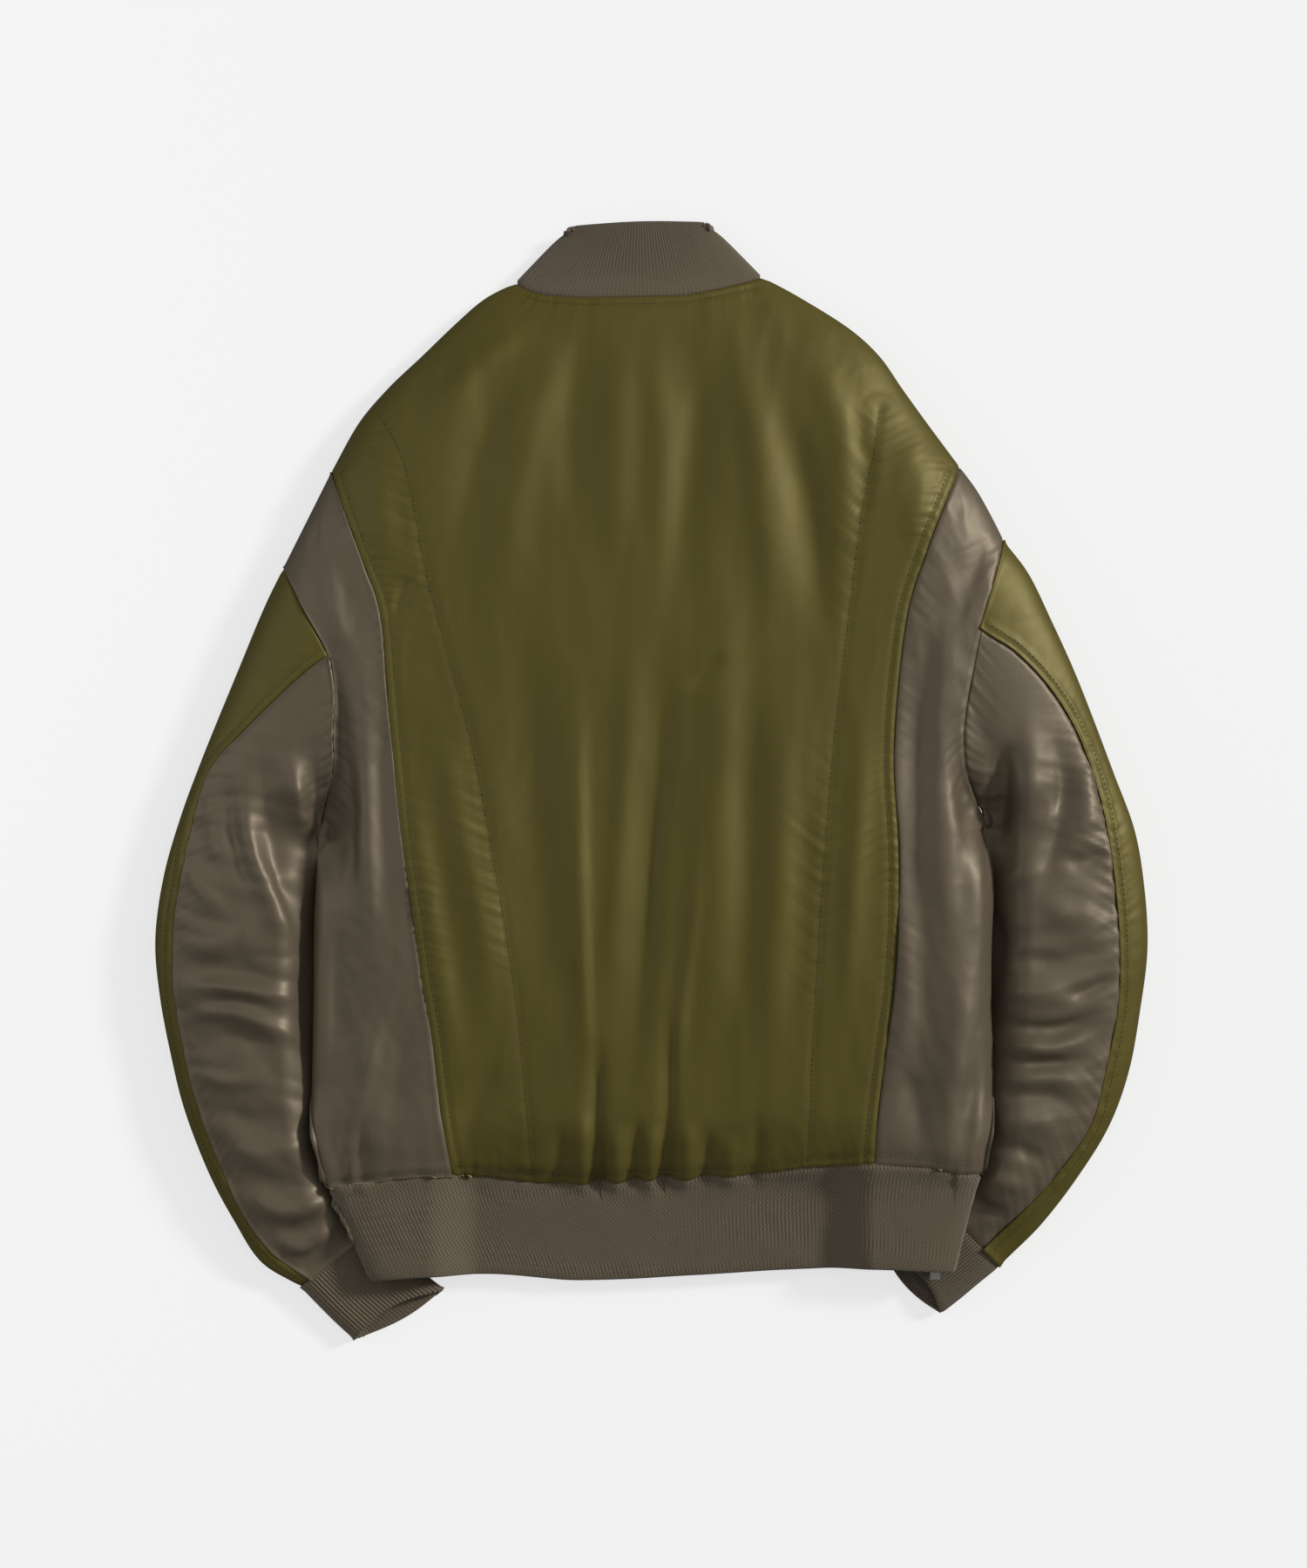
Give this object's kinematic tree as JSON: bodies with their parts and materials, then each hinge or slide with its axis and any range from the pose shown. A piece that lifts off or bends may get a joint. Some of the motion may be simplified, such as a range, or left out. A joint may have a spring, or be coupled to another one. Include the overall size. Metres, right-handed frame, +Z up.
{
  "type": "bomber jacket",
  "caption": "Oversized bomber jacket laid face down, with olive and taupe nylon panels, rib knit collar, cuffs and hem, and a front zip with a swinging pull tab.",
  "frame": {"origin": "on the surface the jacket lies on, under the middle of its box", "axes": "+X to the wearer's right, +Y to the collar, +Z up from the surface out of the jacket's back"},
  "size_m": [0.704, 0.7949, 0.047],
  "materials": {
    "olive_nylon": "satin woven nylon, lightly padded",
    "taupe_nylon": "satin woven nylon, lightly padded",
    "rib_knit": "matte rib knit",
    "zip_tape": "matte woven tape",
    "zip_metal": "satin, slightly aged"
  },
  "bodies": {
    "root": {"back_panel": "olive_nylon", "front_left": "olive_nylon", "front_right": "olive_nylon", "side_panel_left": "taupe_nylon", "side_panel_right": "taupe_nylon", "sleeve_outer_left": "olive_nylon", "sleeve_outer_right": "olive_nylon", "sleeve_back_left": "taupe_nylon", "sleeve_back_right": "taupe_nylon", "collar_rib": "rib_knit", "hem_rib": "rib_knit", "cuff_left": "rib_knit", "cuff_right": "rib_knit", "zip_tape_left": "zip_tape", "zip_tape_right": "zip_tape", "zip_chain": "zip_metal", "zip_slider": "zip_metal", "zip_box": "zip_metal", "hem_zip_tape": "zip_tape", "hem_zip_end": "zip_metal"},
    "pull": {"zip_pull": "zip_metal"}
  },
  "joints": [
    {"name": "pull_hinge", "type": "hinge", "parent": "root", "child": "pull", "pos_m": [0, 0.247, 0.001], "axis": [1, 0, 0], "range_deg": [0, 150]}
  ]
}
